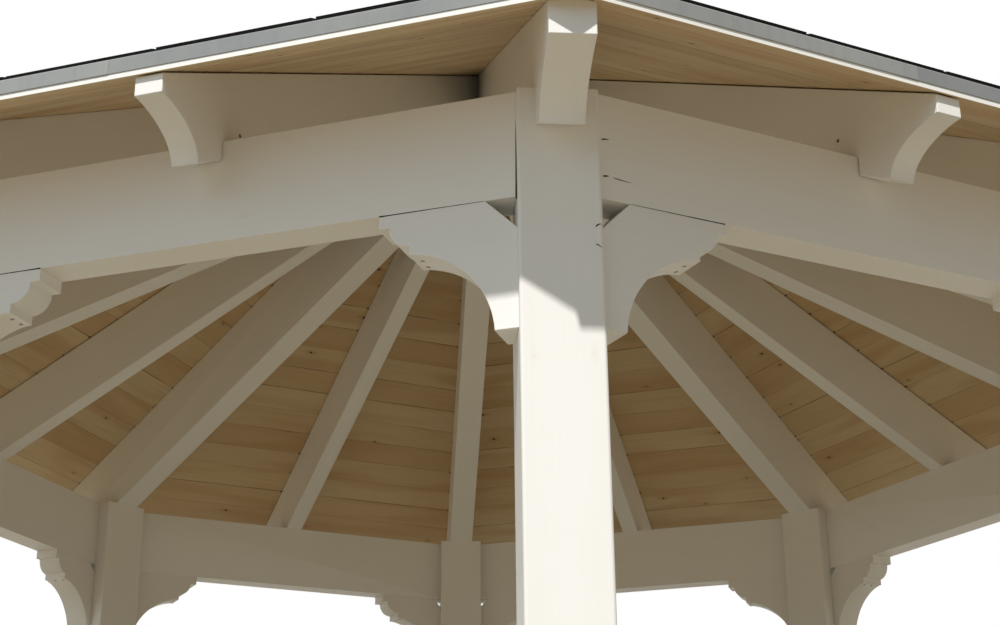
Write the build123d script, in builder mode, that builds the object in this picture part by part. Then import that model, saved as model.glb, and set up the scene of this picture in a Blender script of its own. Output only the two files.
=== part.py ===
from build123d import *
from math import cos, radians, sin, tan
import os

os.makedirs("parts", exist_ok=True)

# Layout of the eight-sided frame
bay_count = 8
beam_top = 2400.0
post_radius = 1680.0
eave_overhang = 237.0
roof_pitch = 28.0
deck_lift = 148.0

# Posts and beams
post_width = 145.0
post_round = 6.0
beam_setback = 14.0
beam_thickness = 73.0
beam_depth = 203.0

# Brackets under the beam ends
bracket_reach = 256.0
bracket_drop = 241.0
bracket_tip = 25.0
bracket_step = 19.0
bracket_ovolo = 39.0
bracket_fillet = 18.0
bracket_ledge = 10.0
bracket_foot = 43.0
bracket_sag = 38.0
bracket_corner = 58.0

# Rafters
hip_width = 80.0
hip_cove = 173.0
hip_nose = 71.0
hip_inset = 34.0
mid_width = 55.0
mid_cove = 140.0
mid_nose = 41.0
mid_inset = 8.0
mid_drop = 3.0
mid_play = 3.0

# King block where the rafters meet
hub_margin = 2.0
hub_drop = 30.0
hub_chamfer = 12.0
point_clearance = 7.0

# Roof deck, drip edge and covering
deck_thickness = 35.0
deck_joint = 1.0
deck_hole = 25.0
drip_height = 28.0
drip_sheet = 2.0
drip_flange = 60.0
drip_joint = 6.0
cover_thickness = 6.0
cover_setback = 3.0
cap_apothem = 170.0
cap_thickness = 6.0
cap_button = 12.0

# Directions and levels that follow from the sizes
bay_turn = 360 / bay_count
half_turn = radians(bay_turn / 2)
slope = tan(radians(roof_pitch))
hip_slope = slope * cos(half_turn)
post_inner = post_radius - post_width / 2
post_outer = post_radius + post_width / 2
post_corner = post_outer * cos(half_turn) + post_width / 2 * sin(half_turn)
beam_apothem = post_corner - beam_setback
beam_inner = beam_apothem - beam_thickness
beam_bottom = beam_top - beam_depth
eave_apothem = beam_apothem + eave_overhang
post_side = (beam_apothem * sin(half_turn) - post_width / 2) / cos(half_turn)
apex_under = beam_top + deck_lift + slope * beam_apothem
deck_rise = deck_thickness / cos(radians(roof_pitch))
sheet_rise = drip_sheet / cos(radians(roof_pitch))
cover_rise = cover_thickness / cos(radians(roof_pitch))
cap_rise = cap_thickness / cos(radians(roof_pitch))
hub_apothem = (hip_width / 2 + hub_margin) / tan(half_turn)
hip_end = eave_apothem / cos(half_turn) - hip_inset
hip_foot = hip_end - hip_cove
mid_end = eave_apothem - mid_inset
mid_foot = mid_end - mid_cove
mid_start = hub_apothem / cos(half_turn) + point_clearance
drip_inner = eave_apothem - drip_flange
cover_end = eave_apothem + drip_sheet - cover_setback


# Height of the deck's underside over a point at this distance along a bay
def under(distance):
    return apex_under - slope * distance


# Upright plane through the axis, with its first direction pointing outward
def radial(turn):
    return Plane.XZ.rotated((0, 0, turn))


# Sloping plane of the deck's underside over one bay
def facet(turn):
    tilt = radians(roof_pitch)
    aim = radians(turn)
    return Plane(
        origin=(0, 0, apex_under),
        z_dir=(sin(tilt) * cos(aim), sin(tilt) * sin(aim), cos(tilt)),
    )


# Posts with rounded corners, standing on the ground
for number in range(1, bay_count + 1):
    turn = (number - 0.5) * bay_turn
    with BuildPart() as post:
        with BuildSketch(Plane.XY.rotated((0, 0, turn))):
            with Locations((post_radius, 0)):
                RectangleRounded(post_width, post_width, post_round)
        extrude(amount=beam_top)
    post.part.label = f"post_{number}"
    export_step(post.part, f"parts/post_{number}.step")

# Beams between the posts, mitred to the sides of the posts
for number in range(1, bay_count + 1):
    turn = (number - 1) * bay_turn
    with BuildPart() as beam:
        with BuildSketch(radial(turn)):
            with Locations((beam_apothem - beam_thickness / 2, beam_top - beam_depth / 2)):
                Rectangle(beam_thickness, beam_depth)
        extrude(amount=post_side + post_width, both=True)
        split(bisect_by=radial(turn + bay_turn / 2).offset(post_width / 2), keep=Keep.TOP)
        split(bisect_by=radial(turn - bay_turn / 2).offset(-post_width / 2), keep=Keep.BOTTOM)
    beam.part.label = f"beam_{number}"
    export_step(beam.part, f"parts/beam_{number}.step")

# Shaped brackets, a pair in every bay, in line with the beam above
ovolo_start = (post_side - bracket_reach + bracket_step, beam_bottom - bracket_tip)
ovolo_end = (ovolo_start[0] + bracket_ovolo, ovolo_start[1] - bracket_ovolo)
scoop_start = (ovolo_end[0] + bracket_ledge, ovolo_end[1] - bracket_fillet)
scoop_end = (post_side - bracket_foot, beam_bottom - bracket_drop)
for number in range(1, bay_count + 1):
    turn = (number - 1) * bay_turn
    with BuildPart() as bracket_pair:
        with BuildSketch(Plane.YZ.rotated((0, 0, turn)).offset(beam_apothem)):
            with BuildLine():
                Polyline(
                    scoop_end,
                    (post_side, scoop_end[1]),
                    (post_side, beam_bottom - bracket_corner),
                    (post_side - bracket_corner, beam_bottom),
                    (post_side - bracket_reach, beam_bottom),
                    (post_side - bracket_reach, ovolo_start[1]),
                    ovolo_start,
                )
                RadiusArc(ovolo_start, ovolo_end, -bracket_ovolo)
                Polyline(ovolo_end, (ovolo_end[0], scoop_start[1]), scoop_start)
                SagittaArc(scoop_start, scoop_end, bracket_sag)
            make_face()
        extrude(amount=-beam_thickness)
        split(bisect_by=radial(turn + bay_turn / 2).offset(post_width / 2), keep=Keep.TOP)
        mirror(about=radial(turn))
    bracket_pair.part.label = f"bracket_pair_{number}"
    export_step(bracket_pair.part, f"parts/bracket_pair_{number}.step")

# Hip rafters over the posts, notched on the post tops and coved at the tails
hip_tip = under(hip_end * cos(half_turn)) - hip_nose
hip_heel = beam_top - hip_slope * (post_outer - post_inner)
hip_cove_foot = beam_top - hip_slope * (hip_foot - post_inner)
for number in range(1, bay_count + 1):
    turn = (number - 0.5) * bay_turn
    with BuildPart() as hip:
        with BuildSketch(radial(turn)):
            with BuildLine():
                Polyline(
                    (hip_end, hip_tip),
                    (hip_end, under(hip_end * cos(half_turn))),
                    (hub_apothem, under(hub_apothem * cos(half_turn))),
                    (hub_apothem, beam_top + hip_slope * (post_inner - hub_apothem)),
                    (post_inner, beam_top),
                    (post_outer, beam_top),
                    (post_outer, hip_heel),
                    (hip_foot, hip_cove_foot),
                )
                EllipticalCenterArc(
                    (hip_end, hip_cove_foot), hip_cove, hip_tip - hip_cove_foot, 90, arc_size=90
                )
            make_face()
        extrude(amount=hip_width / 2, both=True)
        split(bisect_by=facet(turn - bay_turn / 2), keep=Keep.BOTTOM)
        split(bisect_by=facet(turn + bay_turn / 2), keep=Keep.BOTTOM)
    hip.part.label = f"hip_rafter_{number}"
    export_step(hip.part, f"parts/hip_rafter_{number}.step")

# Middle rafters over the beams, just clear of the deck, pointed where they meet two hip rafters
mid_tip = under(mid_end) - mid_nose
mid_notch = beam_apothem + mid_play
mid_heel = beam_top - slope * (mid_notch - beam_inner)
mid_cove_foot = beam_top - slope * (mid_foot - beam_inner)
for number in range(1, bay_count + 1):
    turn = (number - 1) * bay_turn
    with BuildPart() as mid:
        with BuildSketch(radial(turn)):
            with BuildLine():
                Polyline(
                    (mid_end, mid_tip),
                    (mid_end, under(mid_end) - mid_drop),
                    (mid_start, under(mid_start) - mid_drop),
                    (mid_start, beam_top + slope * (beam_inner - mid_start)),
                    (beam_inner, beam_top),
                    (mid_notch, beam_top),
                    (mid_notch, mid_heel),
                    (mid_foot, mid_cove_foot),
                )
                EllipticalCenterArc(
                    (mid_end, mid_cove_foot), mid_cove, mid_tip - mid_cove_foot, 90, arc_size=90
                )
            make_face()
        extrude(amount=mid_width / 2, both=True)
        split(bisect_by=radial(turn + bay_turn / 2).offset(hip_width / 2), keep=Keep.TOP)
        split(bisect_by=radial(turn - bay_turn / 2).offset(-hip_width / 2), keep=Keep.BOTTOM)
    mid.part.label = f"mid_rafter_{number}"
    export_step(mid.part, f"parts/mid_rafter_{number}.step")

# King block with a chamfered foot, its top cut to the underside of the deck
hub_bottom = beam_top + hip_slope * (post_inner - hub_apothem) - hub_drop
with BuildPart() as hub:
    with BuildSketch(Plane.XY.offset(hub_bottom)):
        RegularPolygon(hub_apothem, bay_count, major_radius=False)
    extrude(amount=apex_under - hub_bottom)
    chamfer(hub.faces().sort_by(Axis.Z)[0].edges(), hub_chamfer)
    for number in range(bay_count):
        split(bisect_by=facet(number * bay_turn), keep=Keep.BOTTOM)
hub.part.label = "king_block"
export_step(hub.part, "parts/king_block.step")

# One facet of the roof deck, repeated over the eight bays
with BuildPart() as deck_facet:
    with BuildSketch(Plane.XZ):
        Polygon(
            (deck_hole, under(deck_hole)),
            (eave_apothem, under(eave_apothem)),
            (eave_apothem, under(eave_apothem) + deck_rise),
            (deck_hole, under(deck_hole) + deck_rise),
            align=None,
        )
    extrude(amount=eave_apothem, both=True)
    split(bisect_by=radial(bay_turn / 2).offset(deck_joint / 2), keep=Keep.TOP)
    split(bisect_by=radial(-bay_turn / 2).offset(-deck_joint / 2), keep=Keep.BOTTOM)
with BuildPart() as deck:
    with PolarLocations(0, bay_count):
        add(deck_facet.part)
deck.part.label = "roof_deck"
export_step(deck.part, "parts/roof_deck.step")

# Folded metal drip edge along each eave, stopping short of the corners
with BuildPart() as drip_strip:
    with BuildSketch(Plane.XZ):
        Polygon(
            (drip_inner, under(drip_inner) + deck_rise),
            (eave_apothem, under(eave_apothem) + deck_rise),
            (eave_apothem, under(eave_apothem) + deck_rise - drip_height),
            (eave_apothem + drip_sheet, under(eave_apothem) + deck_rise - drip_height),
            (eave_apothem + drip_sheet, under(eave_apothem + drip_sheet) + deck_rise + sheet_rise),
            (drip_inner, under(drip_inner) + deck_rise + sheet_rise),
            align=None,
        )
    extrude(amount=eave_apothem, both=True)
    split(bisect_by=radial(bay_turn / 2).offset(drip_joint / 2), keep=Keep.TOP)
    split(bisect_by=radial(-bay_turn / 2).offset(-drip_joint / 2), keep=Keep.BOTTOM)
with BuildPart() as drip:
    with PolarLocations(0, bay_count):
        add(drip_strip.part)
drip.part.label = "drip_edge"
export_step(drip.part, "parts/drip_edge.step")

# One facet of the roof covering, stepped over the flange of the drip edge
with BuildPart() as cover_facet:
    with BuildSketch(Plane.XZ):
        Polygon(
            (deck_hole, under(deck_hole) + deck_rise),
            (drip_inner, under(drip_inner) + deck_rise),
            (drip_inner, under(drip_inner) + deck_rise + sheet_rise),
            (cover_end, under(cover_end) + deck_rise + sheet_rise),
            (cover_end, under(cover_end) + deck_rise + cover_rise),
            (deck_hole, under(deck_hole) + deck_rise + cover_rise),
            align=None,
        )
    extrude(amount=cover_end, both=True)
    split(bisect_by=radial(bay_turn / 2).offset(deck_joint / 2), keep=Keep.TOP)
    split(bisect_by=radial(-bay_turn / 2).offset(-deck_joint / 2), keep=Keep.BOTTOM)
with BuildPart() as cover:
    with PolarLocations(0, bay_count):
        add(cover_facet.part)
cover.part.label = "roof_covering"
export_step(cover.part, "parts/roof_covering.step")

# Eight-sided cap over the peak, hollow to fit the slopes below it
cover_top = deck_thickness + cover_thickness
cap_seat = under(cap_apothem) + deck_rise + cover_rise
cap_height = slope * (cap_apothem - cap_button) + cap_rise
with BuildPart() as cap_core:
    with BuildSketch(Plane.XY.offset(cap_seat)):
        RegularPolygon(cap_apothem, bay_count, major_radius=False, rotation=bay_turn / 2)
    extrude(amount=cap_height)
    for number in range(bay_count):
        split(bisect_by=facet(number * bay_turn).offset(cover_top), keep=Keep.BOTTOM)
with BuildPart() as cap:
    with BuildSketch(Plane.XY.offset(cap_seat)):
        RegularPolygon(cap_apothem, bay_count, major_radius=False, rotation=bay_turn / 2)
    extrude(amount=cap_height)
    for number in range(bay_count):
        split(bisect_by=facet(number * bay_turn).offset(cover_top + cap_thickness), keep=Keep.BOTTOM)
    add(cap_core.part, mode=Mode.SUBTRACT)
cap.part.label = "peak_cap"
export_step(cap.part, "parts/peak_cap.step")
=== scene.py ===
from math import cos, floor, pi, radians, sin, tan
from random import Random

import bmesh
import bpy
from mathutils import Matrix, Vector


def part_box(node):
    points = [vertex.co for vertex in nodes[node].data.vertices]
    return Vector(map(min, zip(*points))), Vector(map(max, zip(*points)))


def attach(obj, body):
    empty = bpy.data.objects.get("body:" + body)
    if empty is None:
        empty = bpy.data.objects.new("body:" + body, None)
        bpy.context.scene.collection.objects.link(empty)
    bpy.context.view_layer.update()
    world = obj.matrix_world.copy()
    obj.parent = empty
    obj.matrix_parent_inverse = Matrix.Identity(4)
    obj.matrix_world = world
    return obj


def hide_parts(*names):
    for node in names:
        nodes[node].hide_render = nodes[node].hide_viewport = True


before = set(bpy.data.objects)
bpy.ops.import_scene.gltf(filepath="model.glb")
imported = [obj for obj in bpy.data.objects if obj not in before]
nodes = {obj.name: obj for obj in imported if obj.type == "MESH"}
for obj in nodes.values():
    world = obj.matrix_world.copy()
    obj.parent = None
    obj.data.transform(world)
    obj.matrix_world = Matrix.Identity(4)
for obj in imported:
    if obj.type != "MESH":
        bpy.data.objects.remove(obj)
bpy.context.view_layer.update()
print("frame loaded:", len(nodes), "nodes")

# sizes that several pieces share, in metres; those of the deck and the beam are read from the frame
bays = 8
bayTurn = 2 * pi / bays
halfTurn = bayTurn / 2
pitch = radians(28)
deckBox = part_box("roof_deck")
eaveReach = deckBox[1].x
eaveLevel = deckBox[0].z
apexLevel = eaveLevel + eaveReach * tan(pitch)
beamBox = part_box("beam_1")
beamFace = beamBox[1].x
beamUnderside = beamBox[0].z
leftBay = 6                 # counted from the bay that faces +X
rightBay = 7
frontPost = 6.5


def tint(red, green, blue):
    # a paint chip's 0-255 numbers turned into the linear colour the shader wants
    def linear(value):
        value = value / 255
        return value / 12.92 if value <= 0.04045 else ((value + 0.055) / 1.055) ** 2.4

    return (linear(red), linear(green), linear(blue), 1.0)


def onSlope(along, lift):
    # distance down the slope from the apex and height square to it, as outward distance and level
    return along * cos(pitch) + lift * sin(pitch), apexLevel - along * sin(pitch) + lift * cos(pitch)


def inBay(bay, outward, sideways, level):
    # a place given from the middle of a bay, as a point of the frame
    aim = bay * bayTurn
    return Vector((
        outward * cos(aim) - sideways * sin(aim),
        outward * sin(aim) + sideways * cos(aim),
        level,
    ))


def makePiece(mesh, name, materials, stands=(), evenNormals=True):
    # a named piece on the body, in place of the nodes that it stands for
    if evenNormals:
        bmesh.ops.recalc_face_normals(mesh, faces=mesh.faces)
    data = bpy.data.meshes.new(name)
    mesh.to_mesh(data)
    mesh.free()
    for material in materials:
        data.materials.append(material)
    piece = bpy.data.objects.new(name, data)
    bpy.context.scene.collection.objects.link(piece)
    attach(piece, "root")
    for stand in stands:
        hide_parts(stand)


def skin(mesh, first, second, closed=True):
    # faces from one row of corners to the next
    faces = []
    for spot in range(len(first) if closed else len(first) - 1):
        after = (spot + 1) % len(first)
        faces.append(mesh.faces.new((first[spot], first[after], second[after], second[spot])))
    return faces


# small steps that the shader groups and the materials are made of

def link(tree, source, target):
    tree.links.new(source, target)


def feed(tree, value, socket):
    # a number or a colour is set on the socket, and anything else is linked to it
    if isinstance(value, (int, float, tuple)):
        socket.default_value = value
    else:
        link(tree, value, socket)


def maths(tree, kind, *values):
    node = tree.nodes.new("ShaderNodeMath")
    node.operation = kind
    for socket, value in zip(node.inputs, values):
        feed(tree, value, socket)
    return node.outputs[0]


def plus(tree, first, second):
    return maths(tree, "ADD", first, second)


def minus(tree, first, second):
    return maths(tree, "SUBTRACT", first, second)


def times(tree, first, second):
    return maths(tree, "MULTIPLY", first, second)


def over(tree, first, second):
    return maths(tree, "DIVIDE", first, second)


def threeNumbers(tree, x, y, z):
    node = tree.nodes.new("ShaderNodeCombineXYZ")
    for socket, value in zip(node.inputs, (x, y, z)):
        feed(tree, value, socket)
    return node.outputs[0]


def lengthOf(tree, x, y):
    node = tree.nodes.new("ShaderNodeVectorMath")
    node.operation = "LENGTH"
    link(tree, threeNumbers(tree, x, y, 0.0), node.inputs[0])
    return node.outputs["Value"]


def noise(tree, vector, scale, detail=2.0, rough=0.5):
    node = tree.nodes.new("ShaderNodeTexNoise")
    feed(tree, scale, node.inputs["Scale"])
    node.inputs["Detail"].default_value = detail
    node.inputs["Roughness"].default_value = rough
    link(tree, vector, node.inputs["Vector"])
    return node.outputs["Fac"]


def chance(tree, x, y, z):
    # a number from 0 to 1 drawn for each set of three, the same one each time
    node = tree.nodes.new("ShaderNodeTexWhiteNoise")
    node.noise_dimensions = "3D"
    link(tree, threeNumbers(tree, x, y, z), node.inputs["Vector"])
    return node.outputs["Value"]


def ramp(tree, value, band, result=(0.0, 1.0), smooth=False):
    # carries the ends of a band over to those of the result, and holds them beyond it
    node = tree.nodes.new("ShaderNodeMapRange")
    node.interpolation_type = "SMOOTHSTEP" if smooth else "LINEAR"
    node.clamp = True
    link(tree, value, node.inputs["Value"])
    for label, number in zip(("From Min", "From Max", "To Min", "To Max"), (*band, *result)):
        node.inputs[label].default_value = number
    return node.outputs["Result"]


def blend(tree, amount, first, second):
    node = tree.nodes.new("ShaderNodeMix")
    node.data_type = "RGBA"
    node.clamp_factor = True
    for slot, value in ((0, amount), (6, first), (7, second)):
        feed(tree, value, node.inputs[slot])
    return node.outputs[2]


def bump(tree, shader, height, depth):
    node = tree.nodes.new("ShaderNodeBump")
    node.inputs["Strength"].default_value = 1.0
    node.inputs["Distance"].default_value = depth
    link(tree, height, node.inputs["Height"])
    link(tree, node.outputs[0], shader.inputs["Normal"])


def partsOf(tree, vector):
    node = tree.nodes.new("ShaderNodeSeparateXYZ")
    link(tree, vector, node.inputs[0])
    return node.outputs


def objectPoint(tree):
    return tree.nodes.new("ShaderNodeTexCoord").outputs["Object"]


def upward(tree, normal):
    # 1 where the surface lies level, face up
    return partsOf(tree, tree.nodes.new("ShaderNodeNewGeometry").outputs[normal])[2]


def downSlope(tree, outward, level):
    return minus(tree, times(tree, outward, cos(pitch)), times(tree, level, sin(pitch)))


def offSlope(tree, outward, level):
    # height square to the slope
    return plus(tree, times(tree, outward, sin(pitch)), times(tree, level, cos(pitch)))


# shader groups: each is built once and placed in the materials with its own values

def openGroup(name, inputs, outputs):
    tree = bpy.data.node_groups.new(name, "ShaderNodeTree")
    for label, start in inputs.items():
        socket = tree.interface.new_socket(label, in_out="INPUT", socket_type="NodeSocketFloat")
        socket.default_value = start
    for label in outputs:
        tree.interface.new_socket(label, in_out="OUTPUT", socket_type="NodeSocketFloat")
    return tree, tree.nodes.new("NodeGroupInput").outputs, tree.nodes.new("NodeGroupOutput").inputs


def addGroup(tree, group, **values):
    node = tree.nodes.new("ShaderNodeGroup")
    node.node_tree = group
    for label, value in values.items():
        feed(tree, value, node.inputs[label])
    return node.outputs


def buildBayPlace():
    # turns a point into the bay it is in, with its distance outward, sideways and its level
    tree, given, result = openGroup("bayPlace", {"Turn": 0.0}, ["Outward", "Sideways", "Level", "Bay"])
    x, y, z = partsOf(tree, objectPoint(tree))
    angle = minus(tree, maths(tree, "ARCTAN2", y, x), given["Turn"])
    bay = maths(tree, "ROUND", over(tree, angle, bayTurn))
    aim = plus(tree, times(tree, bay, bayTurn), given["Turn"])
    cosine, sine = maths(tree, "COSINE", aim), maths(tree, "SINE", aim)
    link(tree, plus(tree, times(tree, x, cosine), times(tree, y, sine)), result["Outward"])
    link(tree, minus(tree, times(tree, y, cosine), times(tree, x, sine)), result["Sideways"])
    link(tree, z, result["Level"])
    link(tree, maths(tree, "MODULO", plus(tree, bay, 2 * bays), bays), result["Bay"])
    return tree


grainLines = {
    "seedStep": 7.31,       # how far one stick's grain lies from the next one's, in metres
    "wander": 0.0035,       # the lines wander this far to either side
    "wanderTurn": 5.3,
    "fine": 30.0,           # how much longer than wide the fine lines are
    "broad": 7.0,
    "fineScale": 5.0,
    "broadScale": 1.9,
}


def buildTimberGrain():
    # fine grain and broad cloudy colour, both drawn out along a stick
    places = {"Along": 0.0, "Across": 0.0, "Through": 0.0, "Seed": 0.0}
    tree, given, result = openGroup("timberGrain", places, ["Grain", "Cloud"])
    moved = maths(tree, "MULTIPLY_ADD", given["Seed"], grainLines["seedStep"], given["Along"])
    swing = maths(tree, "SINE", times(tree, moved, grainLines["wanderTurn"]))
    across = plus(tree, given["Across"], times(tree, swing, grainLines["wander"]))

    def drawnOut(narrow):
        return threeNumbers(tree, moved, times(tree, across, narrow), times(tree, given["Through"], narrow))

    grain = noise(tree, drawnOut(grainLines["fine"]), grainLines["fineScale"], 2.0, 0.6)
    cloud = noise(tree, drawnOut(grainLines["broad"]), grainLines["broadScale"], 1.0)
    link(tree, grain, result["Grain"])
    link(tree, cloud, result["Cloud"])
    return tree


knotCells = {
    "along": 6.2,           # cells to a metre of stick; a cell holds one knot at the most
    "across": 11.35,
    "small": 0.0018,        # radius of the smallest knot
    "spread": 0.0030,       # how much larger the largest one is
    "stretch": 0.85,        # knots are a little longer along the grain
    "streak": 0.34,         # and the stain about them much longer
    "stain": 1.5,           # width of the stain, in knots
    "rim": (-0.0007, 0.0007),
    "stainRim": (-0.006, 0.002),
}


def buildKnots():
    # small knots scattered over the faces, each with a stain drawn out along the grain
    places = {"Along": 0.0, "Across": 0.0, "Seed": 0.0, "Share": 0.2}
    tree, given, result = openGroup("knots", places, ["Knot", "Halo"])
    moved = maths(tree, "MULTIPLY_ADD", given["Seed"], grainLines["seedStep"], given["Along"])
    x = times(tree, moved, knotCells["along"])
    y = times(tree, given["Across"], knotCells["across"])
    cells = tree.nodes.new("ShaderNodeTexVoronoi")
    cells.voronoi_dimensions = "2D"
    cells.inputs["Scale"].default_value = 1.0
    link(tree, threeNumbers(tree, x, y, 0.0), cells.inputs["Vector"])
    heart = partsOf(tree, cells.outputs["Position"])
    beside = over(tree, minus(tree, x, heart[0]), knotCells["along"])
    above = over(tree, minus(tree, y, heart[1]), knotCells["across"])
    draw = tree.nodes.new("ShaderNodeSeparateColor")
    link(tree, cells.outputs["Color"], draw.inputs[0])
    present = maths(tree, "LESS_THAN", draw.outputs[0], given["Share"])
    radius = maths(tree, "MULTIPLY_ADD", draw.outputs[1], knotCells["spread"], knotCells["small"])
    fromKnot = lengthOf(tree, times(tree, beside, knotCells["stretch"]), above)
    fromStain = lengthOf(tree, times(tree, beside, knotCells["streak"]), above)
    knot = ramp(tree, minus(tree, radius, fromKnot), knotCells["rim"], smooth=True)
    reach = times(tree, radius, knotCells["stain"])
    halo = ramp(tree, minus(tree, reach, fromStain), knotCells["stainRim"], smooth=True)
    link(tree, times(tree, knot, present), result["Knot"])
    link(tree, times(tree, halo, present), result["Halo"])
    return tree


dustFall = {
    "blotches": (0.35, 0.75),
    "facingUp": (0.35, 0.95),       # dust settles from the first tilt to the second
    "patches": (0.3, 0.6),
    "thinnest": 0.35,
    "speckScale": 140.0,
    "specks": (0.79, 0.85),
}


def buildGrime():
    # settled dust on top faces, a thin blotchy film everywhere and small specks in the film
    tree, given, result = openGroup("grime", {"Scale": 3.0, "Seed": 0.0}, ["Film", "Settled", "Specks"])
    moved = tree.nodes.new("ShaderNodeVectorMath")
    moved.operation = "ADD"
    link(tree, objectPoint(tree), moved.inputs[0])
    link(tree, threeNumbers(tree, given["Seed"], 0.0, 0.0), moved.inputs[1])
    blotch = noise(tree, moved.outputs[0], given["Scale"], 3.0, 0.62)
    film = ramp(tree, blotch, dustFall["blotches"], smooth=True)
    up = ramp(tree, upward(tree, "Normal"), dustFall["facingUp"], smooth=True)
    patchy = ramp(tree, blotch, dustFall["patches"], (dustFall["thinnest"], 1.0))
    fine = noise(tree, moved.outputs[0], dustFall["speckScale"], 0.0)
    specks = ramp(tree, fine, dustFall["specks"], smooth=True)
    link(tree, film, result["Film"])
    link(tree, times(tree, up, patchy), result["Settled"])
    link(tree, times(tree, specks, film), result["Specks"])
    return tree


bayPlace = buildBayPlace()
timberGrain = buildTimberGrain()
knots = buildKnots()
grime = buildGrime()
print("shader groups built")


# materials

def freshMaterial(name, finish):
    material = bpy.data.materials.new(name)
    material.use_nodes = True
    tree = material.node_tree
    shader = tree.nodes["Principled BSDF"]
    for label, value in finish.items():
        shader.inputs[label].default_value = value
    return material, tree, shader


def coverWith(tree, shader, colour, mask, rough, band=(0.0, 1.0)):
    # the colour, and a roughness that follows the mask
    link(tree, colour, shader.inputs["Base Color"])
    link(tree, ramp(tree, mask, band, rough), shader.inputs["Roughness"])


def stain(tree, mask, strength, ground, colour):
    # lays a colour over the ground where the mask shows, this strong at the most
    return blend(tree, times(tree, mask, strength), ground, colour)


paint = {
    "cream": tint(243, 240, 235),
    "thin": tint(234, 229, 219),      # where the grain shows through
    "knot": tint(226, 211, 184),      # resin staining under the paint
    "dust": tint(186, 182, 172),
    "grainBand": (0.42, 0.72),
    "grainShow": 0.12,
    "cloudBand": (0.45, 0.70),
    "cloudShow": 0.12,
    "haloShow": 0.09,
    "knotShow": 0.18,
    "filmShow": 0.05,
    "dustShow": 0.35,
    "knotShare": 0.08,
    "relief": 0.00022,
    "rough": (0.45, 0.55),
    "finish": {"IOR": 1.46, "Specular IOR Level": 0.35},
}


def paintedTimber(name, turn, axes, seed):
    # axes names which of the directions runs along the stick, across its face and through it
    material, tree, shader = freshMaterial(name, paint["finish"])
    where = addGroup(tree, bayPlace, Turn=turn)
    places = {label: where[label] for label in ("Outward", "Sideways", "Level")}
    places["Slope"] = downSlope(tree, where["Outward"], where["Level"])
    places["Square"] = offSlope(tree, where["Outward"], where["Level"])
    along, across, through = (places[axis] for axis in axes)
    own = plus(tree, where["Bay"], seed)
    grain = addGroup(tree, timberGrain, Along=along, Across=across, Through=through, Seed=own)
    knot = addGroup(tree, knots, Along=along, Across=across, Seed=own, Share=paint["knotShare"])
    dirt = addGroup(tree, grime, Scale=2.6, Seed=seed)
    grainMask = ramp(tree, grain["Grain"], paint["grainBand"], (0.0, paint["grainShow"]))
    cloudMask = ramp(tree, grain["Cloud"], paint["cloudBand"], (0.0, paint["cloudShow"]))
    colour = blend(tree, grainMask, paint["cream"], paint["thin"])
    colour = blend(tree, cloudMask, colour, paint["thin"])
    colour = stain(tree, knot["Halo"], paint["haloShow"], colour, paint["knot"])
    colour = stain(tree, knot["Knot"], paint["knotShow"], colour, paint["knot"])
    colour = stain(tree, dirt["Film"], paint["filmShow"], colour, paint["dust"])
    colour = stain(tree, dirt["Settled"], paint["dustShow"], colour, paint["dust"])
    coverWith(tree, shader, colour, grain["Grain"], paint["rough"], (0.3, 0.75))
    bump(tree, shader, grain["Grain"], paint["relief"])
    return material


boards = {
    "width": 0.0881,        # face of one board, measured level
    "first": 1.800,         # outward distance of the joint nearest the eave
    "thickness": 0.035,
    "arris": 0.0006,        # the small bevel along each joint
    "gap": 0.0002,
    "peak": 0.030,          # where the boards stop short of the peak
    "narrowest": 0.020,     # of the board at the peak
    "mitre": 0.0006,
    "toe": 0.0015,          # the bevel under the eave edge
    "slip": 0.006,          # how far the joints differ between bays
    "slipTurn": (2.4, 0.7),
    "hipSide": 0.040,       # half the width of the rafters that the boards pass over
    "midSide": 0.0275,
}
pine = {
    "pale": tint(221, 199, 162),
    "warm": tint(207, 177, 137),
    "deep": tint(184, 150, 110),
    "streak": tint(192, 151, 108),
    "halo": tint(158, 116, 76),
    "knot": tint(84, 58, 36),
    # painted shade in the open joints and in their hollows behind the rafters
    "joint": tint(78, 58, 38),
    "grainBand": (0.42, 0.72),
    "grainShow": 0.22,
    "cloudBand": (0.48, 0.68),
    "cloudShow": 0.5,
    "haloShow": 0.26,
    "knotShow": 0.92,
    "knotShare": 0.24,
    "relief": 0.0005,
    "line": (0.008, 0.018),         # edge of a joint's dark line, as a share of a board
    "tightToOpen": (0.06, 0.85),    # how dark the joints are
    "hollow": (0.025, 0.050),       # edge of the dot where a joint runs in behind a rafter
    "besideRafter": (0.003, 0.008),
    "faintToDeep": (0.15, 0.85),    # how dark the dots are
    "rough": (0.52, 0.72),
    "finish": {"IOR": 1.45, "Specular IOR Level": 0.3},
}


def jointShift(bay):
    turn, start = boards["slipTurn"]
    return boards["slip"] * sin(turn * bay + start)


def jointShadeLine(tree, where, joint, side):
    # painted shade: a dark line stands for the shade in each open joint; some joints are tight and some
    # stand open, more in one stretch than in the next
    openness = chance(tree, where["Bay"], joint, 9.0)
    gape = ramp(tree, openness, (0.3, 0.8), pine["tightToOpen"], smooth=True)
    ajar = noise(tree, threeNumbers(tree, where["Sideways"], joint, where["Bay"]), 5.0, 1.0)
    dark = times(tree, gape, ramp(tree, ajar, (0.38, 0.6), (0.25, 1.0), smooth=True))
    return times(tree, ramp(tree, side, pine["line"], (1.0, 0.0), smooth=True), dark)


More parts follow.
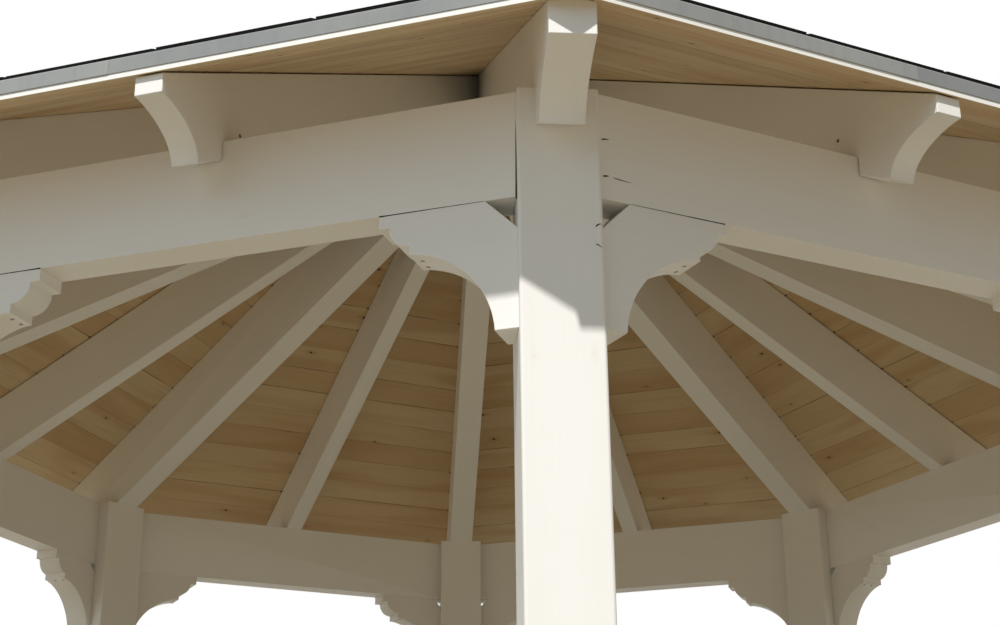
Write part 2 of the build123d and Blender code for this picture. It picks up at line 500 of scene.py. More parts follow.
def jointShadeDot(tree, where, foot, joint, side):
    # painted shade: the hollow of a joint shows as a dark dot where it runs in behind a rafter
    aside = maths(tree, "ABSOLUTE", where["Sideways"])
    toHip = times(tree, minus(tree, times(tree, foot, tan(halfTurn)), aside), cos(halfTurn))
    fromHip = maths(tree, "ABSOLUTE", minus(tree, toHip, boards["hipSide"]))
    fromMid = maths(tree, "ABSOLUTE", minus(tree, aside, boards["midSide"]))
    nearest = maths(tree, "MINIMUM", fromHip, fromMid)
    atRafter = ramp(tree, nearest, pine["besideRafter"], (1.0, 0.0), smooth=True)
    depth = ramp(tree, chance(tree, where["Bay"], joint, 4.0), (0.25, 0.8), pine["faintToDeep"])
    inJoint = ramp(tree, side, pine["hollow"], (1.0, 0.0), smooth=True)
    return times(tree, times(tree, inJoint, atRafter), depth)


def ceilingPine():
    material, tree, shader = freshMaterial("ceilingPine", pine["finish"])
    where = addGroup(tree, bayPlace, Turn=0.0)
    # boards are counted by their foot on the underside of the deck
    lift = offSlope(tree, where["Outward"], minus(tree, where["Level"], apexLevel))
    foot = minus(tree, where["Outward"], times(tree, lift, sin(pitch)))
    swing = maths(tree, "SINE", maths(tree, "MULTIPLY_ADD", where["Bay"], *boards["slipTurn"]))
    fromFirst = minus(tree, minus(tree, foot, boards["first"]), times(tree, swing, boards["slip"]))
    spot = over(tree, fromFirst, boards["width"])
    board = maths(tree, "FLOOR", spot)
    joint = maths(tree, "ROUND", spot)
    side = maths(tree, "ABSOLUTE", minus(tree, spot, joint))
    seed = maths(tree, "MULTIPLY_ADD", where["Bay"], 31.0, times(tree, board, 1.37))
    grain = addGroup(tree, timberGrain, Along=where["Sideways"], Across=foot, Through=lift, Seed=seed)
    knot = addGroup(tree, knots, Along=where["Sideways"], Across=foot, Seed=seed, Share=pine["knotShare"])
    cloudMask = ramp(tree, grain["Cloud"], pine["cloudBand"], (0.0, pine["cloudShow"]), smooth=True)
    grainMask = ramp(tree, grain["Grain"], pine["grainBand"], (0.0, pine["grainShow"]))
    colour = blend(tree, chance(tree, where["Bay"], board, 3.0), pine["pale"], pine["warm"])
    colour = blend(tree, cloudMask, colour, pine["streak"])
    colour = blend(tree, grainMask, colour, pine["deep"])
    colour = stain(tree, knot["Halo"], pine["haloShow"], colour, pine["halo"])
    colour = stain(tree, knot["Knot"], pine["knotShow"], colour, pine["knot"])
    # painted shade in the open joints and where they run in behind the rafters
    colour = blend(tree, jointShadeLine(tree, where, joint, side), colour, pine["joint"])
    colour = blend(tree, jointShadeDot(tree, where, foot, joint, side), colour, pine["joint"])
    coverWith(tree, shader, colour, grain["Grain"], pine["rough"], (0.3, 0.8))
    bump(tree, shader, grain["Grain"], pine["relief"])
    return material


eaveEdge = {
    "white": tint(245, 243, 237),
    "filmShow": 0.06,
    "rough": (0.45, 0.60),
}


def eaveWhite():
    # the painted lower edge of the outermost board
    material, tree, shader = freshMaterial("eaveWhite", paint["finish"])
    dirt = addGroup(tree, grime, Scale=5.0, Seed=1.0)
    colour = stain(tree, dirt["Film"], eaveEdge["filmShow"], eaveEdge["white"], paint["dust"])
    coverWith(tree, shader, colour, dirt["Film"], eaveEdge["rough"])
    return material


drip = {
    "coat": tint(144, 145, 143),
    # the darker grey serves both the real rain runs and the painted shade of the second lengths
    "wornAndShaded": tint(115, 118, 118),
    "speck": tint(120, 112, 98),
    "wearAndShadeShow": 0.7,
    "secondLengthShade": 0.7,      # painted shade: how much darker the second length of a bay is, as it takes the light differently
    "wornStray": 0.3,       # and how far lengths differ by chance
    "runShow": 0.25,        # rain runs down the face
    "runScale": 60.0,
    "filmShow": 0.15,
    "speckShow": 0.4,
    "rough": (0.36, 0.52),
    "finish": {"IOR": 1.5, "Specular IOR Level": 0.5},
    "sheet": 0.002,         # how far the outer lengths stand off the deck
    "lap": 0.0006,          # how far the inner lengths lie behind them
    "clear": 0.0001,        # between the sheet and the deck
    "face": 0.028,
    "flange": 0.060,
    "nose": 0.0034,
    "noseSteps": 5,
    "hem": 0.0006,          # the small bevel at the lower edge
    "corner": 0.0006,       # half the seam left at a hip
    "lapAt": -0.078,        # in the bay on the left of the picture
    "lapWander": 0.11,      # how far it moves from one bay to the next
    "lapTurn": 3.1,
    "lapLength": 0.030,
}


def coatedSheet():
    # each length of edging has its own tone of the same coat: the second length of a bay is painted darker,
    # standing for the different way it takes the light, and every length also differs by chance
    material, tree, shader = freshMaterial("coatedSheet", drip["finish"])
    where = addGroup(tree, bayPlace, Turn=0.0)
    turn = times(tree, minus(tree, where["Bay"], leftBay), drip["lapTurn"])
    lap = maths(tree, "MULTIPLY_ADD", maths(tree, "SINE", turn), drip["lapWander"], drip["lapAt"])
    length = maths(tree, "GREATER_THAN", where["Sideways"], lap)
    stray = times(tree, chance(tree, where["Bay"], length, 5.0), drip["wornStray"])
    own = maths(tree, "MULTIPLY_ADD", length, drip["secondLengthShade"], stray)
    dirt = addGroup(tree, grime, Scale=7.0, Seed=2.0)
    narrow = times(tree, where["Sideways"], drip["runScale"])
    streaks = threeNumbers(tree, narrow, where["Level"], where["Bay"])
    runMask = ramp(tree, noise(tree, streaks, 1.0, 1.0), (0.5, 0.75), (0.0, drip["runShow"]))
    # painted shade on the second length of each bay and a random tone on every length, then the real rain
    # runs
    colour = stain(tree, own, drip["wearAndShadeShow"], drip["coat"], drip["wornAndShaded"])
    colour = blend(tree, runMask, colour, drip["wornAndShaded"])
    colour = stain(tree, dirt["Film"], drip["filmShow"], colour, paint["dust"])
    colour = stain(tree, dirt["Specks"], drip["speckShow"], colour, drip["speck"])
    coverWith(tree, shader, colour, dirt["Film"], drip["rough"])
    return material


shingles = {
    "course": 0.142,        # how much of each course shows
    "tab": 0.305,
    "slot": 0.009,
    "depth": 0.165,         # length of a tab up the slope, so that the next course covers its head
    "butt": 0.0036,
    "uneven": 0.0004,       # how much the butts differ
    "ragged": 0.0015,       # how far a tab's foot strays from its course
    "starter": 0.0024,      # the strip under the first course
    "rest": 0.0018,         # what the foot of a tab lies on in the other courses
    "headLift": 0.0002,     # a tab thins out towards its head
    "headTop": 0.0012,
    "hipClear": 0.001,
    "peakClear": 0.12,      # the courses end here, under the cap
    "stripHead": 0.05,      # the unbroken strip below them starts here
    "stripSink": 0.0001,
    "shortest": 0.03,       # shorter tabs and narrower slivers are left out
    "narrowest": 0.004,
    "setback": 0.0032,      # from the face of the drip edge
    "seat": 0.0002,         # height above the flange of the edging
    "slack": 0.0005,        # keeps a butt's shade in its own row
    "slip": 0.010,          # how far the slots of one course differ from the next but one
    "slipTurn": (5.1, 2.3),
    "dark": tint(74, 72, 70),
    "light": tint(128, 122, 114),
    "fleck": tint(176, 168, 156),
    "cut": tint(34, 33, 32),
    "gritScale": 420.0,
    "gritShow": 0.7,
    "patchScale": 9.0,
    "patchShow": 0.35,
    "dustShow": 0.12,
    "relief": 0.0012,
    "finish": {"Roughness": 0.93, "IOR": 1.45, "Specular IOR Level": 0.2},
}
hipCaps = {
    "wing": 0.125,
    "step": 0.137,
    "length": 0.175,
    "butt": 0.0030,
    "thinner": 0.0002,      # how much the butts differ
    "thicker": 0.0003,
    "skew": 0.004,
    "seatHead": 0.0030,
    "seatFoot": 0.0052,
    "thinHead": 0.0012,
    "bellyRise": 0.0006,    # the wings lift a little in the middle, as bent sheets do
    "topAtFoot": 0.009,     # height of a cap's upper face at its foot
}

# the covering lies on the deck and its edging; lengths run down the slope from the apex
coverSeat = boards["thickness"] + drip["sheet"] + shingles["seat"]
coverReach = eaveReach + drip["sheet"] - shingles["setback"]
courseFoot = (coverReach - (coverSeat + shingles["butt"]) * sin(pitch)) / cos(pitch)
capFoot = (coverReach - (coverSeat + hipCaps["topAtFoot"]) * sin(pitch)) / cos(pitch)


def slotShift(course, bay):
    byCourse, byBay = shingles["slipTurn"]
    return (course % 2) * shingles["tab"] / 2 + shingles["slip"] * sin(byCourse * course + byBay * bay)


def rowOf(tree, where, foot, step):
    # rows are counted up the slope from the lowest butt
    down = downSlope(tree, where["Outward"], minus(tree, where["Level"], apexLevel))
    return maths(tree, "FLOOR", over(tree, minus(tree, foot + shingles["slack"], down), step))


def tabShade(tree, where):
    # the slots are found as slotShift places them
    row = rowOf(tree, where, courseFoot, shingles["course"])
    byCourse, byBay = shingles["slipTurn"]
    turn = maths(tree, "MULTIPLY_ADD", row, byCourse, times(tree, where["Bay"], byBay))
    slip = times(tree, maths(tree, "SINE", turn), shingles["slip"])
    shift = maths(tree, "MULTIPLY_ADD", maths(tree, "MODULO", row, 2.0), shingles["tab"] / 2, slip)
    tab = maths(tree, "FLOOR", over(tree, minus(tree, where["Sideways"], shift), shingles["tab"]))
    return chance(tree, where["Bay"], row, tab)


def capShade(tree, where):
    row = rowOf(tree, where, capFoot, hipCaps["step"])
    hip = addGroup(tree, bayPlace, Turn=halfTurn)["Bay"]
    return chance(tree, hip, row, 11.0)


def mineralShingle(name, shadeOf):
    # every tab, or every cap, has its own shade
    material, tree, shader = freshMaterial(name, shingles["finish"])
    point = objectPoint(tree)
    own = shadeOf(tree, addGroup(tree, bayPlace, Turn=0.0))
    grit = noise(tree, point, shingles["gritScale"], 2.0, 0.7)
    patch = noise(tree, point, shingles["patchScale"], 3.0)
    dirt = addGroup(tree, grime, Scale=2.0, Seed=3.0)
    patchMask = ramp(tree, patch, (0.4, 0.65), (0.0, shingles["patchShow"]))
    fleckMask = ramp(tree, grit, (0.56, 0.70), (0.0, shingles["gritShow"]))
    pitMask = ramp(tree, grit, (0.44, 0.30), (0.0, shingles["gritShow"]))
    colour = blend(tree, ramp(tree, own, (0.0, 1.0), (0.15, 0.7)), shingles["dark"], shingles["light"])
    colour = blend(tree, patchMask, colour, shingles["dark"])
    colour = blend(tree, fleckMask, colour, shingles["fleck"])
    colour = blend(tree, pitMask, colour, shingles["dark"])
    colour = stain(tree, dirt["Settled"], shingles["dustShow"], colour, paint["dust"])
    # the cut edges and the undersides show bare bitumen
    cutMask = ramp(tree, upward(tree, "True Normal"), (0.5, 0.7), (1.0, 0.0))
    colour = blend(tree, cutMask, colour, shingles["cut"])
    link(tree, colour, shader.inputs["Base Color"])
    bump(tree, shader, grit, shingles["relief"])
    return material


# the paint of each kind of timber, the turn of its first stick and the way its grain runs
timbers = {
    "post": ("paintPosts", halfTurn, ("Level", "Sideways", "Outward")),
    "beam": ("paintBeams", 0.0, ("Sideways", "Level", "Outward")),
    "bracket_pair": ("paintBrackets", 0.0, ("Sideways", "Level", "Outward")),
    "hip_rafter": ("paintHips", halfTurn, ("Slope", "Square", "Sideways")),
    "mid_rafter": ("paintMids", 0.0, ("Slope", "Square", "Sideways")),
    "king_block": ("paintKing", 0.0, ("Level", "Sideways", "Outward")),
}
paints = {}
for seed, (kind, (name, turn, axes)) in enumerate(timbers.items(), 1):
    paints[kind] = paintedTimber(name, turn, axes, seed)
boardPine = ceilingPine()
boardEdge = eaveWhite()
edgeSheet = coatedSheet()
tabShingle = mineralShingle("tabShingle", tabShade)
capShingle = mineralShingle("capShingle", capShade)
print("materials built")


# the timbers and the peak cap keep their own solids, with eased arrises

arrises = {
    "post": 0.0,            # the posts are rounded in the frame
    "beam": 0.0014,
    "bracket_pair": 0.0014,
    "hip_rafter": 0.0026,
    "mid_rafter": 0.0022,
    "king_block": 0.003,
    "peak_cap": 0.0012,
    "segments": 3,
    "limit": radians(26),
    "weld": 0.00003,
}


def dressNode(name, kind, material):
    node = nodes[name]
    node.data.materials.clear()
    node.data.materials.append(material)
    for face in node.data.polygons:
        face.material_index = 0
    if arrises[kind] == 0:
        return
    weld = node.modifiers.new("weld", "WELD")
    weld.merge_threshold = arrises["weld"]
    ease = node.modifiers.new("arris", "BEVEL")
    ease.width = arrises[kind]
    ease.segments = arrises["segments"]
    ease.limit_method = "ANGLE"
    ease.angle_limit = arrises["limit"]
    ease.use_clamp_overlap = False          # or the short steps round the curves would thin every arris
    ease.miter_outer = "MITER_ARC"
    ease.harden_normals = True


for kind, material in paints.items():
    sticks = [kind] if kind in nodes else [f"{kind}_{number}" for number in range(1, bays + 1)]
    for name in sticks:
        dressNode(name, kind, material)
dressNode("peak_cap", "peak_cap", capShingle)
print("timbers dressed")


# roof boards, one piece to a bay, mitred at the hips

def span(mesh, bay, section, startAt, endAt, materialAt=None):
    # carries a section between two sideways places, each given as a function of outward distance
    rings = []
    for stop in (startAt, endAt):
        points = [inBay(bay, outward, stop(outward), level) for outward, level in section]
        rings.append([mesh.verts.new(point) for point in points])
    for face, corner, after in zip(skin(mesh, *rings), section, section[1:] + section[:1]):
        if materialAt:
            face.material_index = materialAt(corner, after)
    mesh.faces.new(list(reversed(rings[0])))
    mesh.faces.new(rings[1])


def hipAt(way, clear):
    # the hip on one side of a bay, less what is left clear of it
    def stop(outward):
        return way * (outward * tan(halfTurn) - clear)

    return stop


def isEaveEdge(first, second):
    return 1 if min(first[0], second[0]) > eaveReach - boards["toe"] / 2 else 0


def onPlumb(outward, lift):
    # the point at this outward distance and height square to the slope
    return outward, apexLevel + (lift - outward * sin(pitch)) / cos(pitch)


def eaveBoard(inner):
    # the outermost board ends in a plumb edge with a small bevel under it
    arris, toe, thick = boards["arris"], boards["toe"], boards["thickness"]
    underEdge = onPlumb(eaveReach, 0.0)[1]
    return [
        onSlope(inner, arris),
        onSlope(inner + arris, 0.0),
        onPlumb(eaveReach - toe, 0.0),
        (eaveReach, underEdge + toe),
        onPlumb(eaveReach, thick),
        onSlope(inner, thick),
    ]


def plainBoard(low, top):
    arris, thick = boards["arris"], boards["thickness"]
    return [
        onSlope(low, arris),
        onSlope(low + arris, 0.0),
        onSlope(top - arris, 0.0),
        onSlope(top, arris),
        onSlope(top, thick),
        onSlope(low, thick),
    ]


def buildBoards(bay):
    mesh = bmesh.new()
    left, right = hipAt(-1, boards["mitre"]), hipAt(1, boards["mitre"])
    joints = []
    reach = boards["first"] + jointShift(bay)
    while reach > boards["peak"] + boards["narrowest"]:
        joints.append(reach)
        reach -= boards["width"]
    joints.append(boards["peak"])
    span(mesh, bay, eaveBoard(joints[0] / cos(pitch) + boards["gap"]), left, right, isEaveEdge)
    for outer, inner in zip(joints, joints[1:]):
        section = plainBoard(inner / cos(pitch) + boards["gap"], outer / cos(pitch) - boards["gap"])
        span(mesh, bay, section, left, right)
    makePiece(mesh, f"roofBoards{bay + 1}", (boardPine, boardEdge), ["roof_deck"])


for bay in range(bays):
    buildBoards(bay)
print("roof boards laid")


# folded edging along the eaves, two lapped lengths to a bay

def edgingSection(face):
    # from the flange on the deck, round the nose and down to the lower edge
    top = boards["thickness"] + drip["sheet"]
    seat = boards["thickness"] + drip["clear"]
    back = eaveReach + drip["clear"]
    flangeEnd = eaveReach - drip["flange"]
    nose, hem = drip["nose"], drip["hem"]
    foot = onPlumb(eaveReach, boards["thickness"])[1] - drip["face"]
    outward, level = onPlumb(face - nose, top - nose)
    section = [onPlumb(flangeEnd, top)]
    for step in range(drip["noseSteps"] + 1):
        turn = (pi / 2 - pitch) * (1 - step / drip["noseSteps"])
        section.append((outward + nose * cos(turn), level + nose * sin(turn)))
    section += [
        (face, foot + hem),
        (face - hem, foot),
        (back, foot),
        onPlumb(back, seat),
        onPlumb(flangeEnd, seat),
    ]
    return section


def buildEdging(bay):
    mesh = bmesh.new()
    lap = drip["lapAt"] + drip["lapWander"] * sin(drip["lapTurn"] * (bay - leftBay))
    face = eaveReach + drip["sheet"]
    span(mesh, bay, edgingSection(face), hipAt(-1, drip["corner"]), lambda outward: lap)
    under = edgingSection(face - drip["lap"])
    span(mesh, bay, under, lambda outward: lap - drip["lapLength"], hipAt(1, drip["corner"]))
    makePiece(mesh, f"eaveEdging{bay + 1}", (edgeSheet,), ["drip_edge"])


for bay in range(bays):
    buildEdging(bay)
print("eave edging folded")


# shingle courses with their tabs, and caps over the hips

def slopePoint(bay, along, sideways, lift):
    outward, level = onSlope(along, lift)
    return inBay(bay, outward, sideways, level)


def hipLine(along, lift):
    return onSlope(along, lift)[0] * tan(halfTurn)


def slab(mesh, low, high):
    # a thin sheet between two rings of corners
    under = [mesh.verts.new(corner) for corner in low]
    top = [mesh.verts.new(corner) for corner in high]
    mesh.faces.new(list(reversed(under)))
    mesh.faces.new(top)
    skin(mesh, under, top)


def tabOutline(head, foot, left, right):
    # corners down the slope and sideways, kept clear of the hips
    outline = []
    for along, side in ((head, left), (head, right), (foot, right), (foot, left)):
        limit = hipLine(along, coverSeat) - shingles["hipClear"]
        outline.append((along, max(-limit, min(limit, side))))
    return outline


def isSliver(outline):
    atHead = outline[1][1] - outline[0][1]
    atFoot = outline[2][1] - outline[3][1]
    return max(atHead, atFoot) < shingles["narrowest"]


def buildCourse(mesh, bay, course, foot, head, chooser):
    rest = shingles["starter"] if course == 0 else shingles["rest"]
    half = hipLine(foot, coverSeat)
    offset = slotShift(course, bay)
    first = floor((-half - offset) / shingles["tab"])
    last = floor((half - offset) / shingles["tab"]) + 1
    for tab in range(first, last + 1):
        left = tab * shingles["tab"] + offset + shingles["slot"] / 2
        right = left + shingles["tab"] - shingles["slot"]
        ragged = chooser.uniform(-shingles["ragged"], shingles["ragged"]) * min(course, 1)
        thick = shingles["butt"] + chooser.uniform(-shingles["uneven"], shingles["uneven"])
        outline = tabOutline(head, foot + ragged, left, right)
        if isSliver(outline):
            continue
        atHead = shingles["headLift"], shingles["headTop"]
        atFoot = rest, rest + thick
        low, high = [], []
        for along, side in outline:
            under, top = atHead if along == head else atFoot
            low.append(slopePoint(bay, along, side, coverSeat + under))
            high.append(slopePoint(bay, along, side, coverSeat + top))
        slab(mesh, low, high)


def buildShingles(bay):
    chooser = Random(100 + bay)
    mesh = bmesh.new()
    for course in range(int(courseFoot / shingles["course"]) + 1):
        foot = courseFoot - course * shingles["course"]
        head = max(foot - shingles["depth"], shingles["peakClear"])
        if foot - head >= shingles["shortest"]:
            buildCourse(mesh, bay, course, foot, head, chooser)
    # an unbroken strip below the courses
    outline = tabOutline(shingles["stripHead"], courseFoot, -eaveReach, eaveReach)
    low = [slopePoint(bay, along, side, coverSeat - shingles["stripSink"]) for along, side in outline]
    high = [slopePoint(bay, along, side, coverSeat + shingles["starter"]) for along, side in outline]
    slab(mesh, low, high)
    makePiece(mesh, f"shingleCourses{bay + 1}", (tabShingle,), ["roof_covering"])


def capRow(mesh, bay, along, lift, skew):
    # five points across a hip, from one wing over the ridge to the other
    after = (bay + 1) % bays
    ridge = hipLine(along, lift)
    wing = hipCaps["wing"]
    belly = lift + hipCaps["bellyRise"]
    points = (
        slopePoint(bay, along, ridge - wing - skew, lift),
        slopePoint(bay, along, ridge - wing / 2, belly),
        slopePoint(bay, along, ridge, lift),
        slopePoint(after, along, wing / 2 - ridge, belly),
        slopePoint(after, along, wing - skew - ridge, lift),
    )
    return [mesh.verts.new(point) for point in points]


def buildHipCaps(bay):
    # folded caps along the hip between this bay and the next
    chooser = Random(300 + bay)
    mesh = bmesh.new()
    foot = capFoot
    while foot - hipCaps["length"] > shingles["peakClear"]:
        head = foot - hipCaps["length"]
        thick = hipCaps["butt"] + chooser.uniform(-hipCaps["thinner"], hipCaps["thicker"])
        skew = chooser.uniform(-hipCaps["skew"], hipCaps["skew"])
        headSeat, footSeat = coverSeat + hipCaps["seatHead"], coverSeat + hipCaps["seatFoot"]
        headLow = capRow(mesh, bay, head, headSeat, skew)
        headTop = capRow(mesh, bay, head, headSeat + hipCaps["thinHead"], skew)
        footLow = capRow(mesh, bay, foot, footSeat, skew)
        footTop = capRow(mesh, bay, foot, footSeat + thick, skew)
        for spot in range(len(headLow) - 1):
            after = spot + 1
            mesh.faces.new((headTop[spot], headTop[after], footTop[after], footTop[spot]))
            mesh.faces.new((headLow[spot], footLow[spot], footLow[after], headLow[after]))
            mesh.faces.new((footLow[spot], footTop[spot], footTop[after], footLow[after]))
            mesh.faces.new((headLow[spot], headLow[after], headTop[after], headTop[spot]))
        mesh.faces.new((headLow[0], headTop[0], footTop[0], footLow[0]))
        mesh.faces.new((headLow[-1], footLow[-1], footTop[-1], headTop[-1]))
        foot -= hipCaps["step"]
    makePiece(mesh, f"hipCaps{bay + 1}", (capShingle,), ["roof_covering"])


for bay in range(bays):
    buildShingles(bay)
    buildHipCaps(bay)
print("shingles laid")


# screws under the brackets and in the sides of the two front middle rafters

screws = {
    "radius": 0.0040,
    "sides": 14,
    "profile": ((1.0, -0.0004), (0.96, 0.0004), (0.5, 0.0006), (0.42, 0.0001)),
    "underBracket": {
        "outward": (1.6032, 1.5746),
        "sideways": 0.4145,
        "level": 2.11427,
        "lean": (0.1815, 0.9834),
    },
    "inRafter": {"sideways": 0.0275, "left": (1.5825, 2.4580), "right": (1.5700, 2.4420)},
    "steel": tint(112, 101, 86),
    "rustShow": 0.6,
    "rough": (0.40, 0.75),
    "finish": {"Metallic": 0.3},
}


def screwSteel():
    material, tree, shader = freshMaterial("screwSteel", screws["finish"])
    dirt = addGroup(tree, grime, Scale=60.0, Seed=6.0)
    colour = stain(tree, dirt["Film"], screws["rustShow"], screws["steel"], pine["knot"])
    coverWith(tree, shader, colour, dirt["Film"], screws["rough"])
    return material


def screwHead(mesh, centre, facing):
    # a flat head with a round recess; the profile gives each ring's share of the radius and its rise
    facing = facing.normalized()
    first = facing.orthogonal().normalized()
    second = facing.cross(first)
    sides = screws["sides"]
    rings = []
    for share, rise in screws["profile"]:
        ring = []
        for step in range(sides):
            turn = 2 * pi * step / sides
            outward = (first * cos(turn) + second * sin(turn)) * screws["radius"] * share
            ring.append(mesh.verts.new(centre + facing * rise + outward))
        rings.append(ring)
    for outer, inner in zip(rings, rings[1:]):
        skin(mesh, outer, inner)
    mesh.faces.new(rings[-1])
    mesh.faces.new(list(reversed(rings[0])))


def buildScrews():
    mesh = bmesh.new()
    bracket, rafter = screws["underBracket"], screws["inRafter"]
    sideLean, downLean = bracket["lean"]
    for bay in range(bays):
        for way, side in ((-1, "left"), (1, "right")):
            lean = inBay(bay, 0.0, -way * sideLean, -downLean)
            for outward in bracket["outward"]:
                screwHead(mesh, inBay(bay, outward, way * bracket["sideways"], bracket["level"]), lean)
            if bay in (leftBay, rightBay):
                outward, level = rafter[side]
                centre = inBay(bay, outward, way * rafter["sideways"], level)
                screwHead(mesh, centre, inBay(bay, 0.0, way, 0.0))
    makePiece(mesh, "frameScrews", (screwSteel(),), evenNormals=False)


buildScrews()
print("screws set")


# small splits at the front post and the beam ends beside it, drawn as dark slivers on the flat faces:
# painted shade for the hollow of each split and of the open joint where a beam ends at the post

splits = {
    "proud": 0.00012,
    "postFace": 1.7525,
    "postFlat": 0.0665,     # the front face is flat as far as this, then rounds off
    "postRound": 0.006,
    "steps": 12,
    "fullest": 0.35,        # how far along a split is widest
    "taper": 0.6,
    "tip": 0.00005,
    "dark": tint(36, 32, 28),
    "soft": tint(70, 62, 54),
    "finish": {"Roughness": 0.9, "Specular IOR Level": 0.1},
}
# the bay or post whose face it is on, the width, and three points of the line, sideways and level
splitLines = (
    (rightBay, 0.0030, ((-0.5935, 2.3108), (-0.5860, 2.3130), (-0.5765, 2.3142))),
    (rightBay, 0.0036, ((-0.5930, 2.2400), (-0.5860, 2.2414), (-0.5800, 2.2424))),
    (rightBay, 0.0020, ((-0.5725, 2.2410), (-0.5540, 2.2394), (-0.5342, 2.2388))),
    (leftBay, 0.0034, ((0.5962, 2.1930), (0.5966, 2.2250), (0.5970, 2.3450))),
    (frontPost, 0.0028, ((0.0590, 2.1352), (0.0640, 2.1400), (0.0700, 2.1411))),
    (frontPost, 0.0022, ((0.0585, 2.1040), (0.0640, 2.1012), (0.0705, 2.0962))),
)


# near-black with a blotchy film: painted shade in the hollows of the splits and open joints
def hollowShadeDark():
    material, tree, shader = freshMaterial("hollowShadeDark", splits["finish"])
    dirt = addGroup(tree, grime, Scale=90.0, Seed=7.0)
    link(tree, blend(tree, dirt["Film"], splits["dark"], splits["soft"]), shader.inputs["Base Color"])
    return material


def faceDistance(bay, sideways):
    # outward distance of the beam's face, or of the post's face and its rounded corner
    if bay != frontPost:
        return beamFace
    past = abs(sideways) - splits["postFlat"]
    if past <= 0:
        return splits["postFace"]
    return splits["postFace"] - splits["postRound"] + (splits["postRound"] ** 2 - past ** 2) ** 0.5


def onCurve(start, middle, end, share):
    # one coordinate of a smooth curve through three points
    pull = 2 * middle - (start + end) / 2
    return (1 - share) ** 2 * start + 2 * share * (1 - share) * pull + share ** 2 * end


def splitHalf(width, share):
    if share in (0, 1):
        return splits["tip"]
    fromFullest = abs(share - splits["fullest"]) / (1 - splits["fullest"])
    return width / 2 * (1 - fromFullest) ** splits["taper"]


def buildSplits():
    mesh = bmesh.new()
    for bay, width, line in splitLines:
        run = Vector([last - first for first, last in zip(line[0], line[2])]).normalized()
        rails = ([], [])
        for step in range(splits["steps"] + 1):
            share = step / splits["steps"]
            across, up = (onCurve(*coordinates, share) for coordinates in zip(*line))
            half = splitHalf(width, share)
            for rail, way in zip(rails, (1, -1)):
                sideways, level = across - way * run.y * half, up + way * run.x * half
                outward = faceDistance(bay, sideways) + splits["proud"]
                rail.append(mesh.verts.new(inBay(bay, outward, sideways, level)))
        skin(mesh, *rails, closed=False)
    makePiece(mesh, "timberSplitShade", (hollowShadePaint,))


hollowShadePaint = hollowShadeDark()
buildSplits()
print("splits drawn")


# painted shade: a dark strip in the groove between each bracket and its beam stands for the shade in an
# open joint

jointShadeStrip = {
    "from": 0.3430,         # sideways, at the bracket's tip
    "to": 0.5380,           # and where its back corner is cut off
    "proud": 0.0001,
    "wide": 0.0032,
    "uneven": 0.75,
    "closing": (0.75, 0.6),     # how much of the width is lost by the end, and how early
    "steps": 14,
}


def buildJointShadeStrips():
    chooser = Random(500)
    mesh = bmesh.new()
    outward = beamFace + jointShadeStrip["proud"]
    lost, early = jointShadeStrip["closing"]
    for bay in range(bays):
        for way in (-1, 1):
            rails = ([], [])
            for step in range(jointShadeStrip["steps"] + 1):
                share = step / jointShadeStrip["steps"]
                sideways = way * (jointShadeStrip["from"] + share * (jointShadeStrip["to"] - jointShadeStrip["from"]))
                # widest at the tip, where the bracket has drawn away most and the painted shade is widest
                wide = jointShadeStrip["wide"] * chooser.uniform(jointShadeStrip["uneven"], 1.0)
                half = wide / 2 * (1 - lost * share ** early)
                for rail, up in zip(rails, (-1, 1)):
                    rail.append(mesh.verts.new(inBay(bay, outward, sideways, beamUnderside + up * half)))
            # the rails change places on the other side, so that the faces look outward there too
            skin(mesh, *rails[::way], closed=False)
    makePiece(mesh, "bracketJointShade", (hollowShadePaint,), evenNormals=False)


buildJointShadeStrips()
print("bracket joints drawn")


# floor, backdrop and light

stageSet = {
    "floor": tint(205, 202, 196),
    "floorBounce": tint(140, 131, 111),     # what the floor throws back up at the timbers
    "floorSize": 26.0,
    "floorFinish": {"Roughness": 0.9, "Specular IOR Level": 0.1},
    "backdrop": (1.0, 1.0, 1.0, 1.0),
    "sky": 0.24,
    "skyTint": (0.86, 0.94, 1.0, 1.0),
    "sun": 4.5,
    "sunTint": (1.0, 0.99, 0.975),
    "sunSpread": radians(1.2),
    "sunFrom": (0.059, -0.5025, 0.8626),
    "fill": 0.50,
    "fillTint": (0.66, 0.84, 1.0),
    "fillSpread": radians(50),
    "fillFrom": (-0.42, -0.80, 0.43),
    "lampsAway": 8.0,
}


def seenDirectly(tree):
    # 1 where the camera sees a surface itself, in a reflection or through glass
    path = tree.nodes.new("ShaderNodeLightPath")
    seen = maths(tree, "MAXIMUM", path.outputs["Is Camera Ray"], path.outputs["Is Glossy Ray"])
    return maths(tree, "MAXIMUM", seen, path.outputs["Is Transmission Ray"])


def buildFloor():
    bpy.ops.mesh.primitive_circle_add(vertices=96, radius=stageSet["floorSize"], fill_type="NGON")
    floorPiece = bpy.context.object
    floorPiece.name = "studioFloor"
    material, tree, shader = freshMaterial("studioFloor", stageSet["floorFinish"])
    shown = blend(tree, seenDirectly(tree), stageSet["floorBounce"], stageSet["floor"])
    link(tree, shown, shader.inputs["Base Color"])
    floorPiece.data.materials.append(material)


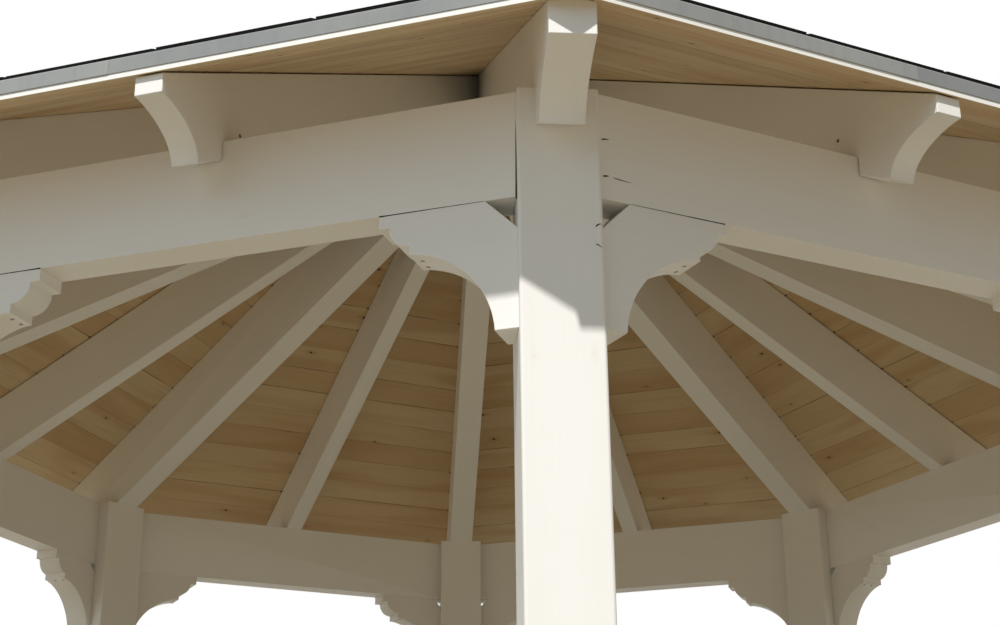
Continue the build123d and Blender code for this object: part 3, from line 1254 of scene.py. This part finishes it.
def buildSky():
    world = bpy.data.worlds.new("studioSky")
    bpy.context.scene.world = world
    world.use_nodes = True
    tree = world.node_tree
    tree.nodes.clear()
    output = tree.nodes.new("ShaderNodeOutputWorld")
    mix = tree.nodes.new("ShaderNodeMixShader")
    link(tree, seenDirectly(tree), mix.inputs[0])
    for slot, colour, strength in (
        (1, stageSet["skyTint"], stageSet["sky"]),
        (2, stageSet["backdrop"], 1.0),
    ):
        background = tree.nodes.new("ShaderNodeBackground")
        background.inputs["Color"].default_value = colour
        background.inputs["Strength"].default_value = strength
        link(tree, background.outputs[0], mix.inputs[slot])
    link(tree, mix.outputs[0], output.inputs["Surface"])


def buildLamp(name, key):
    lamp = bpy.data.lights.new(name, "SUN")
    lamp.energy = stageSet[key]
    lamp.angle = stageSet[key + "Spread"]
    lamp.color = stageSet[key + "Tint"]
    holder = bpy.data.objects.new(name, lamp)
    bpy.context.scene.collection.objects.link(holder)
    towards = Vector(stageSet[key + "From"])
    holder.rotation_euler = towards.to_track_quat("Z", "Y").to_euler()
    holder.location = towards * stageSet["lampsAway"]


buildFloor()
buildSky()
buildLamp("keyLight", "sun")
buildLamp("fillLight", "fill")
print("stage lit")


# camera where the photograph was taken

shot = {
    "place": (1.3639, -4.0721, 0.9804),
    "yaw": radians(-18.138),
    "pitch": radians(21.416),
    "roll": radians(-0.594),
    "lens": 59.33,
    "sensor": 36.0,
}


def buildCamera():
    data = bpy.data.cameras.new("shot")
    data.lens = shot["lens"]
    data.sensor_width = shot["sensor"]
    data.sensor_fit = "HORIZONTAL"
    holder = bpy.data.objects.new("shot", data)
    bpy.context.scene.collection.objects.link(holder)
    yaw, lift, roll = shot["yaw"], shot["pitch"], shot["roll"]
    ahead = Vector((sin(yaw) * cos(lift), cos(yaw) * cos(lift), sin(lift)))
    level = Vector((cos(yaw), -sin(yaw), 0.0))
    upright = level.cross(ahead)
    right = cos(roll) * level + sin(roll) * upright
    up = -sin(roll) * level + cos(roll) * upright
    axes = Matrix((right, up, -ahead)).transposed()
    holder.matrix_world = Matrix.Translation(shot["place"]) @ axes.to_4x4()
    bpy.context.scene.camera = holder


buildCamera()
bpy.context.scene.view_settings.view_transform = "Standard"
print("camera set")

bpy.context.view_layer.update()
